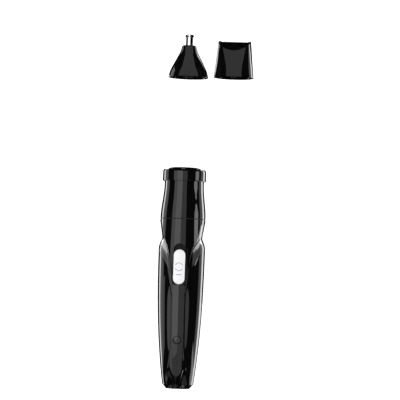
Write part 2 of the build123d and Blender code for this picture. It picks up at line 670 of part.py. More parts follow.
# ---------------------------------------------------------------- build and export
def main():
    body, hollow = outer_body(), cavity()
    handle = {
        "front_shell": front_shell(body, hollow),
        "back_shell": back_shell(body, hollow),
        "neck_collar": neck_collar(),
        "collar_gasket": collar_gasket(),
        "head_spigot": head_spigot(),
        "shaft_seal": shaft_seal(),
        "base_cap": base_cap(),
        "shell_screw": shell_screw(),
        "charge_socket": charge_socket(),
        "charge_tongue": charge_tongue(),
        "charge_board": charge_board(),
        "charge_leads": charge_leads(),
        "battery": battery(),
        "battery_tabs": battery_tabs(),
        "circuit_board": circuit_board(),
        "slide_switch_case": slide_switch_case(),
        "indicator_led": indicator_led(),
        "indicator_lens": indicator_lens(body),
        "motor_can": motor_can(),
        "motor_end_bell": motor_end_bell(),
        "motor_terminals": motor_terminals(),
        "motor_frame": motor_frame(),
        "motor_screws": motor_screws(),
        "motor_leads": motor_leads(),
        "switch_button": switch_button(),
        "switch_clip": switch_clip(),
        "switch_peg": switch_peg(),
        "motor_shaft": motor_shaft(),
        "drive_coupler": drive_coupler(),
    }
    nose = {
        "nose_shell": nose_shell(),
        "nose_core": head_core(8.55, 15.0),
        "nose_bush": head_bush(14.8),
        "nose_guide": nose_guide(),
        "nose_guard": nose_guard(),
        "nose_rotor_shaft": nose_rotor_shaft(),
        "nose_spring": rotor_spring(),
        "nose_cutter": nose_cutter(),
    }
    trim = {
        "trim_shell": trim_shell(),
        "trim_core": head_core(10.2, 10.95),
        "trim_bush": head_bush(10.9),
        "fixed_blade": fixed_blade(),
        "moving_blade": moving_blade(),
        "blade_yoke": blade_yoke(),
        "blade_spring": blade_spring(),
        "blade_screws": blade_screws(),
        "trim_rotor_shaft": trim_rotor_shaft(),
        "trim_spring": rotor_spring(),
    }
    os.makedirs("parts", exist_ok=True)
    for place, group in ((HANDLE_AT, handle), (NOSE_AT, nose), (TRIM_AT, trim)):
        for name, shape in group.items():
            export_step(place * shape, f"parts/{name}.step")


if __name__ == "__main__":
    main()
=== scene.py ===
"""Looks for the cordless nose hair trimmer: surfaces, materials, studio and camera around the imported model.

Everything is in metres in the model's own frame: +Y runs along the handle towards its heads, +Z comes out of
the switch, and z = 0 is the table. Sizes in millimetres are multiplied by MM. Heights "s" and "t" run along
the handle and along a head from their lower ends.
"""

import json
import math

import bmesh
import bpy
import numpy as np
from mathutils import Matrix, Vector


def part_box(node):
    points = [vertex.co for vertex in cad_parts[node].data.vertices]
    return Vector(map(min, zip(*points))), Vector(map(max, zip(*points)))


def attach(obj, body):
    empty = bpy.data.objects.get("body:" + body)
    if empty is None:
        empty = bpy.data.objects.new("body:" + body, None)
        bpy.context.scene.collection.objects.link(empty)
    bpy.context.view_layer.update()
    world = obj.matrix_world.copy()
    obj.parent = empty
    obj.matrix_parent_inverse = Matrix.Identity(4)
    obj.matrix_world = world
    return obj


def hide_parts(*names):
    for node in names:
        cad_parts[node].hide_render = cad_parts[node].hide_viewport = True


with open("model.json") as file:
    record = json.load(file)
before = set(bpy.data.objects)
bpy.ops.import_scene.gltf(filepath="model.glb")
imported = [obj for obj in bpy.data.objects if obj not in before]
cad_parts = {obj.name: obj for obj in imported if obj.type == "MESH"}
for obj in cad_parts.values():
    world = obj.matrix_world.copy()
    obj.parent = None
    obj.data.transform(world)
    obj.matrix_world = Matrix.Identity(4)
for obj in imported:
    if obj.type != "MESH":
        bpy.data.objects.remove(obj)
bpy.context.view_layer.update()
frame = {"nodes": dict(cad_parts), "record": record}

MM = 0.001


def middle(node):
    low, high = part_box(node)
    return (low + high) / 2


# ---------------------------------------------------------------- places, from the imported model
HANDLE = Vector((middle("motor_can").x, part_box("base_cap")[0].y, middle("motor_can").z))
NOSE = Vector((middle("nose_bush").x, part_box("nose_shell")[0].y, middle("nose_bush").z))
TRIM = Vector((middle("trim_bush").x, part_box("trim_shell")[0].y, middle("trim_bush").z))

# ---------------------------------------------------------------- sizes in millimetres
WALL = 1.6
BARREL_R = 14.9
SHELL_START = 2.8
SEAM = 111.7
WIDEST = 92.0
MAX_HALF_WIDTH = 15.35
TAIL_TAPER = 5.0
TAIL_DROP = 9.8
BACK_FLAT = 14.6
RECESS_WIDTH, RECESS_LENGTH, RECESS_MIDDLE = 8.1, 27.0, 82.1
BUTTON_WIDTH, BUTTON_LENGTH, BUTTON_MIDDLE = 7.5, 22.7, 80.3
TRAY_TOP, TRAY_WALL = 12.8, 1.1
LENS_MIDDLE, LENS_R, LENS_HOLE = 32.3, 2.7, 5.6
RECESS_RIM = 14.85           # the recess is dark below this height
PARTING_GAP = 0.05           # half the gap between the two shells
SHELL_ROWS, SHELL_COLUMNS = 160, 201
RING_BOTTOM, RING_TOP, RING_R = 136.8, 143.9, 14.3
SOCKET_R, SOCKET_FLOOR = 13.4, 138.5     # the groove inside the ring
COLLAR_BORE_R = 11.6
HEAD_BASE_R = 13.2
SKIRT_BORE_R = 11.4
TRIM_TOP = 23.8
TRIM_BACK_FLAT = 13.0
FACET_LIFT = 0.034           # the front facet's lower edge rises to the sides
EAR_X, EAR_TOP = 9.9, 24.3


# ---------------------------------------------------------------- maths
def ease(t):
    """0 to 1 with flat ends."""
    t = np.clip(t, 0.0, 1.0)
    return t * t * (3 - 2 * t)


def curve(points, x):
    """A smooth curve through (x, y) points in rising x, level beyond its ends. x may be an array."""
    xs = np.array([p[0] for p in points], float)
    ys = np.array([p[1] for p in points], float)
    index = np.arange(len(xs))
    before, after = np.maximum(index - 1, 0), np.minimum(index + 1, len(xs) - 1)
    slopes = (ys[after] - ys[before]) / (xs[after] - xs[before])
    x = np.clip(x, xs[0], xs[-1])
    i = np.clip(np.searchsorted(xs, x) - 1, 0, len(xs) - 2)
    h = xs[i + 1] - xs[i]
    t = (x - xs[i]) / h
    value = (2 * t**3 - 3 * t**2 + 1) * ys[i] + (3 * t**2 - 2 * t**3) * ys[i + 1]
    return value + h * ((t**3 - 2 * t**2 + t) * slopes[i] + (t**3 - t**2) * slopes[i + 1])


def through(points, steps=8):
    """Points on a smooth plane curve through the given (r, y) points."""
    pts = [np.array(p, float) for p in points]
    out = []
    for i in range(len(pts) - 1):
        a, b = pts[i], pts[i + 1]
        ta = (pts[i + 1] - pts[max(i - 1, 0)]) / (2 if i else 1)
        tb = (pts[min(i + 2, len(pts) - 1)] - a) / (2 if i + 2 < len(pts) else 1)
        for k in range(steps):
            t = k / steps
            out.append((2 * t**3 - 3 * t**2 + 1) * a + (3 * t**2 - 2 * t**3) * b
                       + (t**3 - 2 * t**2 + t) * ta + (t**3 - t**2) * tb)
    return [tuple(p) for p in out] + [tuple(pts[-1])]


# ---------------------------------------------------------------- mesh helpers
def new_object(name, vertices, faces, place):
    """Mesh object from points in millimetres about a place."""
    mesh = bpy.data.meshes.new(name)
    mesh.from_pydata([Vector(v) * MM + place for v in vertices], [], faces)
    obj = bpy.data.objects.new(name, mesh)
    bpy.context.scene.collection.objects.link(obj)
    tidy(obj)
    return obj


def tidy(obj, sharp_degrees=32):
    """Merges doubles, points the faces outward, and smooths all but the sharp edges."""
    bm = bmesh.new()
    bm.from_mesh(obj.data)
    bmesh.ops.remove_doubles(bm, verts=bm.verts, dist=1e-7)
    bmesh.ops.dissolve_degenerate(bm, edges=bm.edges, dist=1e-7)
    bmesh.ops.recalc_face_normals(bm, faces=bm.faces)
    bm.to_mesh(obj.data)
    bm.free()
    obj.data.shade_smooth()
    obj.data.set_sharp_from_angle(angle=math.radians(sharp_degrees))


def lathe(name, outline, place, segments=160, flat_at=None):
    """Turns a closed (radius, height) outline about the Y axis. Points on the axis are shared."""
    vertices, rings = [], []
    for r, y in outline:
        ring = []
        for k in range(segments if r > 1e-6 else 1):
            angle = 2 * math.pi * k / segments
            z = r * math.cos(angle)
            if flat_at is not None:
                z = max(z, flat_at)
            ring.append(len(vertices))
            vertices.append((r * math.sin(angle), y, z))
        rings.append(ring)
    faces = []
    for a, b in zip(rings, rings[1:] + rings[:1]):
        if len(a) == 1 and len(b) == 1:
            continue
        for k in range(segments):
            n = (k + 1) % segments
            corners = [a[k % len(a)], a[n % len(a)], b[n % len(b)], b[k % len(b)]]
            faces.append(list(dict.fromkeys(corners)))
    return new_object(name, vertices, faces, place)


def grid_solid(name, outer, inner, place):
    """A closed skin between two grids of points, each [row][column]."""
    rows, columns = len(outer), len(outer[0])
    vertices = [p for grid in (outer, inner) for row in grid for p in row]

    def at(side, i, j):
        return side * rows * columns + i * columns + j

    faces = []
    for side in (0, 1):
        for i in range(rows - 1):
            for j in range(columns - 1):
                faces.append((at(side, i, j), at(side, i, j + 1), at(side, i + 1, j + 1), at(side, i + 1, j)))
    for i in (0, rows - 1):
        for j in range(columns - 1):
            faces.append((at(0, i, j), at(0, i, j + 1), at(1, i, j + 1), at(1, i, j)))
    for j in (0, columns - 1):
        for i in range(rows - 1):
            faces.append((at(0, i, j), at(0, i + 1, j), at(1, i + 1, j), at(1, i, j)))
    return new_object(name, vertices, faces, place)


def rings_solid(name, vertices, columns, place):
    """Closed solid whose skin runs through rings of points, each ring with the same number of them."""
    rings = len(vertices) // columns
    faces = [list(range(columns)), [len(vertices) - columns + k for k in range(columns)]]
    for base in range(0, (rings - 1) * columns, columns):
        faces += [(base + k, base + (k + 1) % columns, base + columns + (k + 1) % columns, base + columns + k)
                  for k in range(columns)]
    return new_object(name, vertices, faces, place)


def stadium_outline(width, length, steps=24):
    """(x, y) points of a slot's outline about its own middle."""
    r, straight = width / 2, (length - width) / 2
    points = []
    for first, lift in ((0, straight), (steps, -straight)):
        for k in range(first, first + steps + 1):
            angle = math.pi * k / steps
            points.append((r * math.cos(angle), r * math.sin(angle) + lift))
    return points


def inside_stadium(x, y, width, length):
    """Whether a point is in a slot shape about the origin, its length along Y."""
    beyond = max(abs(y) - (length - width) / 2, 0)
    return math.hypot(x, beyond) <= width / 2


def prism(name, outline, y, z0, z1, place):
    """Upright prism over an (x, y) outline whose middle is at height y along the part."""
    n = len(outline)
    vertices = [(px, y + py, z) for z in (z0, z1) for px, py in outline]
    faces = [list(range(n)), list(range(n, 2 * n))]
    faces += [(k, (k + 1) % n, n + (k + 1) % n, n + k) for k in range(n)]
    return new_object(name, vertices, faces, place)


def block(name, x0, x1, y0, y1, z0, z1, place):
    """Box between two values on each axis."""
    outline = [(x0, y0), (x1, y0), (x1, y1), (x0, y1)]
    return prism(name, outline, 0, z0, z1, place)


def apply_modifiers(obj):
    """Keeps the mesh that the modifiers give, and takes them off."""
    depsgraph = bpy.context.evaluated_depsgraph_get()
    mesh = bpy.data.meshes.new_from_object(obj.evaluated_get(depsgraph))
    obj.modifiers.clear()
    obj.data = mesh


def combine(obj, other, operation):
    """Boolean with another object, which is used up."""
    modifier = obj.modifiers.new("combine", "BOOLEAN")
    modifier.operation = operation
    modifier.solver = "EXACT"
    modifier.object = other
    apply_modifiers(obj)
    bpy.data.objects.remove(other)
    tidy(obj)
    return obj


def bevelled(obj, width, segments=2, degrees=40):
    """Rounds the sharp edges."""
    modifier = obj.modifiers.new("bevel", "BEVEL")
    modifier.width = width * MM
    modifier.segments = segments
    modifier.limit_method = "ANGLE"
    modifier.angle_limit = math.radians(degrees)
    apply_modifiers(obj)
    obj.data.shade_smooth()
    obj.data.set_sharp_from_angle(angle=math.radians(degrees))
    return obj


# ---------------------------------------------------------------- materials
RELIEF_HEIGHT = 0.05 * MM


def material(name, color, roughness, metallic=0.0, ior=1.5, bump=0.0, bump_scale=900.0, vary=0.03):
    """Procedural surface: noise varies the roughness and gives a faint moulded or ground texture."""
    m = bpy.data.materials.new(name)
    m.use_nodes = True
    nodes, links = m.node_tree.nodes, m.node_tree.links
    shader = nodes["Principled BSDF"]
    shader.inputs["Base Color"].default_value = (*color, 1)
    shader.inputs["Metallic"].default_value = metallic
    shader.inputs["IOR"].default_value = ior
    where = nodes.new("ShaderNodeTexCoord")
    noise = nodes.new("ShaderNodeTexNoise")
    noise.inputs["Scale"].default_value = bump_scale
    noise.inputs["Detail"].default_value = 3
    links.new(where.outputs["Object"], noise.inputs["Vector"])
    spread = nodes.new("ShaderNodeMapRange")
    spread.inputs["To Min"].default_value = max(roughness - vary, 0.0)
    spread.inputs["To Max"].default_value = roughness + vary
    links.new(noise.outputs["Fac"], spread.inputs["Value"])
    links.new(spread.outputs["Result"], shader.inputs["Roughness"])
    if bump:
        relief = nodes.new("ShaderNodeBump")
        relief.inputs["Strength"].default_value = bump
        relief.inputs["Distance"].default_value = RELIEF_HEIGHT
        links.new(noise.outputs["Fac"], relief.inputs["Height"])
        links.new(relief.outputs["Normal"], shader.inputs["Normal"])
    return m


def brushed(name, color, roughness, stretch):
    """Metal with fine grinding lines across the direction given by stretch."""
    m = material(name, color, roughness, metallic=1.0, bump=0.12, bump_scale=1400.0, vary=0.08)
    nodes, links = m.node_tree.nodes, m.node_tree.links
    mapping = nodes.new("ShaderNodeMapping")
    mapping.inputs["Scale"].default_value = stretch
    links.new(nodes["Texture Coordinate"].outputs["Object"], mapping.inputs["Vector"])
    links.new(mapping.outputs["Vector"], nodes["Noise Texture"].inputs["Vector"])
    return m


BLACK = material("black_gloss", (0.0025, 0.0025, 0.0027), 0.035, bump=0.012, bump_scale=350.0, vary=0.015)
SATIN = material("black_satin", (0.010, 0.010, 0.011), 0.38, bump=0.25, bump_scale=2500.0)
WHITE = material("white_button", (0.86, 0.86, 0.87), 0.22, bump=0.05, bump_scale=1200.0)
MARKS = material("grey_print", (0.30, 0.30, 0.31), 0.5)
RECESS = material("recess_black", (0.004, 0.004, 0.0042), 0.45, ior=1.25, bump=0.2, bump_scale=2500.0)
SMOKE = material("smoked_lens", (0.012, 0.012, 0.013), 0.08, bump=0.02)
STEEL = brushed("ground_steel", (0.72, 0.72, 0.73), 0.22, (1, 8, 1))
BRIGHT = brushed("polished_steel", (0.82, 0.82, 0.83), 0.10, (1, 6, 1))
BRASS = material("brass", (0.78, 0.58, 0.28), 0.25, metallic=1.0, bump=0.1)
BRONZE = material("sintered_bronze", (0.50, 0.34, 0.20), 0.45, metallic=1.0, bump=0.3, bump_scale=3000.0)
RUBBER = material("rubber", (0.012, 0.012, 0.012), 0.7, bump=0.3, bump_scale=2500.0, vary=0.08)
BOARD = material("board_green", (0.015, 0.10, 0.04), 0.35, bump=0.1)
WRAP = material("cell_wrap", (0.04, 0.12, 0.32), 0.3, bump=0.1)
WIRE = material("wire_red", (0.42, 0.02, 0.015), 0.45, bump=0.1)
GREY = material("grey_plastic", (0.16, 0.16, 0.165), 0.45, bump=0.25, bump_scale=2500.0)
GLOW = material("led_lens", (0.75, 0.8, 0.75), 0.15)

SLOT_MATERIAL = {
    "black_gloss": BLACK, "black_satin": SATIN, "white_gloss": WHITE, "clear_smoke": SMOKE, "steel": STEEL,
    "bright_steel": BRIGHT, "brass": BRASS, "bush_bronze": BRONZE, "rubber": RUBBER, "board_green": BOARD,
    "cell_wrap": WRAP, "wire": WIRE, "grey_plastic": GREY, "led": GLOW,
}
METAL_SLOTS = ("steel", "bright_steel")
# The objects that each group of softboxes shines on.
lit = {"handle": [], "collar": [], "shells": [], "heads": [], "nose": [], "trim": [], "metal": []}


def dress(obj, surface, body=None, slot=None):
    """Gives an object its material, and notes which softboxes shine on it."""
    obj.data.materials.clear()
    obj.data.materials.append(surface)
    if body:
        head = body[:4] if body.startswith(("nose", "trim")) else None
        group = "metal" if slot in METAL_SLOTS else "heads" if head else "handle"
        lit[group].append(obj)
        if group == "handle":
            lit["shells" if "shell" in obj.name else "collar"].append(obj)
        if group == "heads":
            lit[head].append(obj)
    return obj


def finished(obj, body, slot, surface=None, replaces=()):
    """Gives a new piece its material, chosen by its slot unless one is given, and its body, and hides the CAD
    nodes it stands for.
    """
    dress(obj, surface or SLOT_MATERIAL[slot], body, slot)
    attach(obj, body)
    if replaces:
        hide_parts(*replaces)
    return obj


def dress_cad_nodes():
    """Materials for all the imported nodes, whether or not a detailed piece replaces them later."""
    bodies = frame["record"]["behaviour"]["bodies"]
    body_of = {node: body for body, nodes in bodies.items() for node in nodes}
    for part in frame["record"]["subparts"]:
        node = frame["nodes"][part["node"]]
        slot = "black_gloss" if part["node"] == "head_spigot" else part["material_slot"]
        slot = "black_satin" if part["node"].endswith("rotor_shaft") else slot
        dress(node, SLOT_MATERIAL[slot], body_of[part["node"]], slot)
        node.data.shade_smooth()
        node.data.set_sharp_from_angle(angle=math.radians(28))


# ---------------------------------------------------------------- the handle's outer surface
# A valley's edges, its depth and its lowest line, each as (degrees from the front centre line, value).
VALLEY_TOP = [(15.6, 60), (19, 73), (22.5, 80.4), (31.5, 91), (38, 95), (47, 99), (54, 103.5), (62, 108),
              (90, 110.5)]
VALLEY_FOOT = [(15.6, 58), (21.7, 69), (33, 77.5), (45, 83.5), (51, 86), (63, 89.5), (90, 92.8)]
VALLEY_DEPTH = [(15.6, 0.0), (24, 0.5), (33, 1.1), (53, 1.9), (90, 2.15)]
VALLEY_TURN = [(15.6, 0.2), (43, 0.2), (54, 0.4), (62, 0.5), (90, 0.65)]     # it falls for this share
VALLEY_FILLET = 0.3          # of the depth
VALLEY_FOOT_SLOPE = 0.3      # the rising side's slope where it ends, as a share of its mean slope
SPINE_EDGE = [(2, 7.6), (12, 6.0), (18, 5.2), (25, 4.5), (32, 4.2), (60, 4.2), (66, 4.9), (72, 6.2)]
FLUTE_DEPTH = [(2, 0.25), (24, 0.28), (58, 0.28), (70, 0.0)]
FLUTE_STEP = 0.7             # the spine's edge drops into the flute over this width
FLUTE_WIDTH = 4.7
HEEL = 8.2                   # the spine turns down towards the base plate here
HEEL_CURVE = 0.25            # and its end is rounded by this much for each squared millimetre to the side
HEEL_SLOPE = 0.4
HEEL_REACH, HEEL_FADE = 4.6, 4.0


def half_width(s):
    """Half of the section's width at height s."""
    taper = TAIL_TAPER * (np.clip(WIDEST - s, 0, None) / (WIDEST - SHELL_START)) ** 2.4
    return MAX_HALF_WIDTH - taper - (MAX_HALF_WIDTH - BARREL_R) * ease((s - WIDEST) / (SEAM - WIDEST))


def front_height(s):
    """Front surface above the drive axis."""
    return BARREL_R - TAIL_DROP * (np.clip(WIDEST - s, 0, None) / (WIDEST - SHELL_START)) ** 2


def section_centre(s):
    """Height of the section's middle above the drive axis."""
    return (front_height(s) - BARREL_R) / 2


def valley(phi, s):
    """Depth of the leaf-shaped valley from the waist in towards the spine, phi in degrees from the front."""
    top, foot = curve(VALLEY_TOP, phi), curve(VALLEY_FOOT, phi)
    across = (top - s) / np.maximum(top - foot, 1e-6)
    depth = curve(VALLEY_DEPTH, phi)
    turn = curve(VALLEY_TURN, phi)
    up = (1 - across) / (1 - turn)
    falling = depth * across / turn
    rising = depth * (VALLEY_FOOT_SLOPE * up + (1 - VALLEY_FOOT_SLOPE) * up * np.abs(up))
    fillet = np.maximum(VALLEY_FILLET * depth, 1e-6)
    blend = np.clip(0.5 + (rising - falling) / (2 * fillet), 0, 1)
    lowest = rising * (1 - blend) + falling * blend - fillet * blend * (1 - blend)
    return np.where((phi > VALLEY_TOP[0][0]) & (across > 0) & (across < 1), np.maximum(lowest, 0), 0.0)


def flute(x, s):
    """Depth of the groove that runs beside the spine, x being the distance from the centre line."""
    beyond = np.abs(x) - curve(SPINE_EDGE, s)
    falling = ease(beyond / FLUTE_STEP)
    rising = 1 - ease((beyond - FLUTE_STEP) / (FLUTE_WIDTH - FLUTE_STEP))
    return curve(FLUTE_DEPTH, s) * falling * rising


def heel(x, s):
    """How far the spine's end falls away in front of the base plate."""
    edge = HEEL + HEEL_CURVE * np.minimum(np.abs(x), HEEL_REACH)**2
    return HEEL_SLOPE * np.clip(edge - s, 0, None) * (1 - ease((np.abs(x) - HEEL_REACH) / HEEL_FADE))


def handle_radius(theta, s):
    """Distance of the surface from the section centre, theta in radians from the front."""
    w, h = half_width(s), (front_height(s) + BARREL_R) / 2
    r = (np.abs(np.sin(theta) / w) ** 2 + np.abs(np.cos(theta) / h) ** 2) ** -0.5
    phi = np.abs(np.degrees(np.arcsin(np.clip(np.sin(theta), -1, 1))))
    x = r * np.sin(theta)
    front = np.cos(theta) > 0
    return r - valley(phi, s) - np.where(front, flute(x, s) + heel(x, s), 0.0)


def handle_point(theta, s, inset=0.0):
    """Point on the handle's surface, with its back planed flat."""
    r = handle_radius(theta, s) - inset
    z = section_centre(s) + r * np.cos(theta)
    floor = -BACK_FLAT + inset * 0.9
    return (r * np.sin(theta), s, np.maximum(z, floor))


def handle_grid(start, end, s0, s1, rows, columns, inset=0.0):
    """Rows of points from s0 to s1, each from angle start to end."""
    s = np.linspace(s0, s1, rows)[:, None]
    theta = np.linspace(start, end, columns)[None, :]
    x, y, z = handle_point(*np.broadcast_arrays(theta, s), inset=inset)
    return np.stack([x, y, z], axis=-1).tolist()


def half_shell(name, front):
    """One of the two shells, WALL thick, with a fine gap at the parting line."""
    gap = PARTING_GAP / BARREL_R
    middle_angle = 0 if front else math.pi
    start, end = middle_angle - math.pi / 2 + gap, middle_angle + math.pi / 2 - gap
    outer = handle_grid(start, end, SHELL_START, SEAM, SHELL_ROWS, SHELL_COLUMNS)
    inner = handle_grid(start, end, SHELL_START, SEAM, SHELL_ROWS, SHELL_COLUMNS, inset=WALL)
    return grid_solid(name, outer, inner, HANDLE)


def make_front_shell():
    """Front shell with the switch's recess, which is dark inside, and the hole for the window."""
    shell = half_shell("front_shell_skin", True)
    wall_outline = stadium_outline(RECESS_WIDTH + 2 * TRAY_WALL, RECESS_LENGTH + 2 * TRAY_WALL)
    tray = prism("tray", wall_outline, RECESS_MIDDLE, TRAY_TOP - 1, 14.1, HANDLE)
    shell = combine(shell, tray, "UNION")
    outline = stadium_outline(RECESS_WIDTH, RECESS_LENGTH)
    recess = prism("recess", outline, RECESS_MIDDLE, TRAY_TOP, 20, HANDLE)
    shell = combine(shell, recess, "DIFFERENCE")
    lens_hole = prism("lens_hole", stadium_outline(LENS_HOLE, LENS_HOLE), LENS_MIDDLE, 0, 20, HANDLE)
    shell = combine(shell, lens_hole, "DIFFERENCE")
    finished(shell, "handle", "black_gloss", replaces=["front_shell"])
    shell.data.materials.append(RECESS)
    for face in shell.data.polygons:
        x, y, z = (face.center - HANDLE) / MM
        if z < RECESS_RIM and inside_stadium(x, y - RECESS_MIDDLE, RECESS_WIDTH + 0.02, RECESS_LENGTH + 0.02):
            face.material_index = 1
    return shell


def make_lens():
    """Round window over the charge light, following the shell with a softened edge."""
    steps, vertices = 64, []
    for share in (0.05, 0.3, 0.55, 0.75, 0.86, 0.93, 0.97, 1.0):
        for k in range(steps):
            angle = 2 * math.pi * k / steps
            x, y = share * LENS_R * math.cos(angle), LENS_MIDDLE + share * LENS_R * math.sin(angle)
            height = (front_height(y) + BARREL_R) / 2
            crown = section_centre(y) + height * math.sqrt(1 - (x / half_width(y)) ** 2)
            vertices.append((x, y, crown - 0.02 - 0.3 * share**6))
    vertices += [(x, y, z - 1.4) for x, y, z in vertices[-steps:]]
    return finished(rings_solid("indicator_lens_skin", vertices, steps, HANDLE), "handle", "clear_smoke",
                    replaces=["indicator_lens"])


def make_back_shell():
    return finished(half_shell("back_shell_skin", False), "handle", "black_gloss", replaces=["back_shell"])


# ---------------------------------------------------------------- collar
def make_collar():
    """Neck with the ring at its top, and the groove inside the ring that the heads' skirts enter."""
    neck = through([(BARREL_R, SEAM + 0.5), (14.75, 116.0), (14.3, 120.5), (13.65, 126.0), (13.1, 131.5),
                    (12.9, RING_BOTTOM)])
    shoulder = [(RING_R - 0.25, RING_BOTTOM), (RING_R - 0.07, RING_BOTTOM + 0.08), (RING_R, RING_BOTTOM + 0.3),
                (RING_R, RING_BOTTOM + 0.45)]
    crest = [(RING_R, RING_TOP - 0.95), (RING_R, RING_TOP - 0.8), (RING_R - 0.1, RING_TOP - 0.2),
             (RING_R - 0.35, RING_TOP + 0.3), (RING_R - 0.7, RING_TOP + 0.55)]
    inside = [(SOCKET_R, RING_TOP + 0.55), (SOCKET_R, SOCKET_FLOOR), (COLLAR_BORE_R, SOCKET_FLOOR)]
    inside += through([(COLLAR_BORE_R, 134.0), (12.0, 126.5), (12.6, 120.5), (BARREL_R - WALL, SEAM + 0.5)])
    outline = neck + shoulder + crest + inside
    collar = lathe("neck_collar_skin", outline, HANDLE, segments=192, flat_at=-BACK_FLAT)
    return finished(collar, "handle", "black_gloss", replaces=["neck_collar"])


# ---------------------------------------------------------------- switch
def make_button():
    """White slide button: a crowned slot shape with a rounded rim."""
    rim = stadium_outline(BUTTON_WIDTH, BUTTON_LENGTH)
    straight = (BUTTON_LENGTH - BUTTON_WIDTH) / 2
    levels = [(0.0, TRAY_TOP + 0.12), (0.0, 14.75), (0.12, 15.0), (0.4, 15.22), (0.9, 15.38), (2.0, 15.55),
              (3.2, 15.64), (3.7, 15.66)]
    vertices = []
    for inset, z in levels:
        share = 1 - 2 * inset / BUTTON_WIDTH
        for px, py in rim:
            lift = straight if py > 0 else -straight
            vertices.append((px * share, BUTTON_MIDDLE + lift + (py - lift) * share, z))
    button = rings_solid("switch_button_skin", vertices, len(rim), HANDLE)
    return finished(button, "switch", "white_gloss", replaces=["switch_button"])


def make_marks():
    """Printed on and off marks: a ring open at its sides and a short bar."""
    vertices, faces = [], []
    z0, z1 = 15.55, 15.70
    inner_r, outer_r = 2.4, 2.72
    steps = 32
    for first, last in ((25, 155), (205, 335)):
        base = len(vertices)
        for k in range(steps + 1):
            angle = math.radians(first + (last - first) * k / steps)
            for r, z in ((inner_r, z0), (outer_r, z0), (outer_r, z1), (inner_r, z1)):
                vertices.append((r * math.cos(angle), BUTTON_MIDDLE + r * math.sin(angle), z))
        for k in range(steps):
            for c in range(4):
                a, b = base + 4 * k + c, base + 4 * k + (c + 1) % 4
                faces.append((a, b, b + 4, a + 4))
        faces += [[base + c for c in range(4)], [base + 4 * steps + c for c in range(4)]]
    marks = new_object("switch_marks", vertices, faces, HANDLE)
    bar = block("bar", -1.8, 1.8, BUTTON_MIDDLE - 5.35, BUTTON_MIDDLE - 4.95, z0, z1, HANDLE)
    marks = combine(marks, bar, "UNION")
    return finished(marks, "switch", "white_gloss", MARKS)


# ---------------------------------------------------------------- base plate
def make_base_cap():
    """Plate at the tail, following the shells' outline and slanting in to its foot."""
    columns = 160
    theta = np.linspace(0, 2 * math.pi, columns, endpoint=False)
    centre = float(section_centre(SHELL_START))
    rim = np.stack(handle_point(theta, np.full(columns, SHELL_START), inset=0.25), axis=-1)
    foot = np.stack([7.6 * np.sin(theta), np.zeros(columns), centre + 6.6 * np.cos(theta)], axis=-1)
    levels = []
    top = SHELL_START - 0.12
    for share in (0.0, 0.06, 0.16, 0.55, 0.96, 1.0):
        ring = foot * (1 - share) + rim * share
        ring[:, 1] = top * (ease(share * 0.9 + 0.05) if 0 < share < 1 else share)
        levels.append(ring)
    vertices = [tuple(p) for ring in levels for p in ring]
    cap = rings_solid("base_cap_skin", vertices, columns, HANDLE)
    port = middle("charge_socket")
    z = (port.z - HANDLE.z) / MM
    opening = block("port", -4.0, 4.0, -2, 5, z - 1.5, z + 1.5, HANDLE)
    cap = combine(cap, opening, "DIFFERENCE")
    return finished(cap, "handle", "black_gloss", replaces=["base_cap"])


# ---------------------------------------------------------------- nose head
def make_nose_shell():
    """Bell-shaped shell from the skirt up to the opening for the steel guard."""
    outside = through([(HEAD_BASE_R, 0.35), (12.95, 1.6), (11.9, 5.0), (10.0, 8.9), (7.75, 13.3), (6.2, 16.3),
                       (5.05, 19.6)])
    top = [(4.85, 20.5), (4.72, 21.0), (4.5, 21.3), (4.2, 21.4), (2.35, 21.4), (2.35, 19.9), (3.6, 19.9)]
    inside = through([(4.0, 18.6), (5.2, 15.6), (6.8, 12.0), (8.8, 8.4), (9.9, 6.4), (11.2, 3.6)])
    skirt = [(SKIRT_BORE_R, 3.0), (SKIRT_BORE_R, 0.3), (SKIRT_BORE_R + 0.3, 0.0), (12.85, 0.0), (13.1, 0.1)]
    shell = lathe("nose_shell_skin", outside + top + inside + skirt, NOSE, segments=192)
    return finished(shell, "nose_head", "black_gloss", replaces=["nose_shell"])


def make_skirt_keys(name, place, body):
    """Three ribs inside a head's skirt."""
    keys = None
    to_origin, back_again = Matrix.Translation(-place), Matrix.Translation(place)
    for k in range(3):
        rib = block(f"{name}_{k}", -1.0, 1.0, 0.4, 3.0, 10.6, 11.6, place)
        rib.data.transform(back_again @ Matrix.Rotation(math.radians(120 * k), 4, "Y") @ to_origin)
        keys = rib if keys is None else combine(keys, rib, "UNION")
    keys.name = name
    return finished(bevelled(keys, 0.15), body, "black_gloss")


# ---------------------------------------------------------------- detail head
def trim_grid(t0, t1, rows, columns, inset=0.0):
    """Rings of points on the detail head: a circle at its foot, narrower and squarer at its top."""
    t = np.linspace(t0, t1, rows)[:, None]
    theta = np.linspace(0, 2 * math.pi, columns, endpoint=False)[None, :]
    t, theta = np.broadcast_arrays(t, theta)
    share = t / 24.2
    a, b = HEAD_BASE_R - 2.7 * share - inset, HEAD_BASE_R - 1.1 * share - inset
    n = 2.0 + 3.4 * share**2.4
    r = (np.abs(np.sin(theta) / a) ** n + np.abs(np.cos(theta) / b) ** n) ** (-1 / n)
    centre = -HEAD_BASE_R + b + inset
    z = np.maximum(centre + r * np.cos(theta), -TRIM_BACK_FLAT)
    return np.stack([r * np.sin(theta), t, z], axis=-1).tolist()


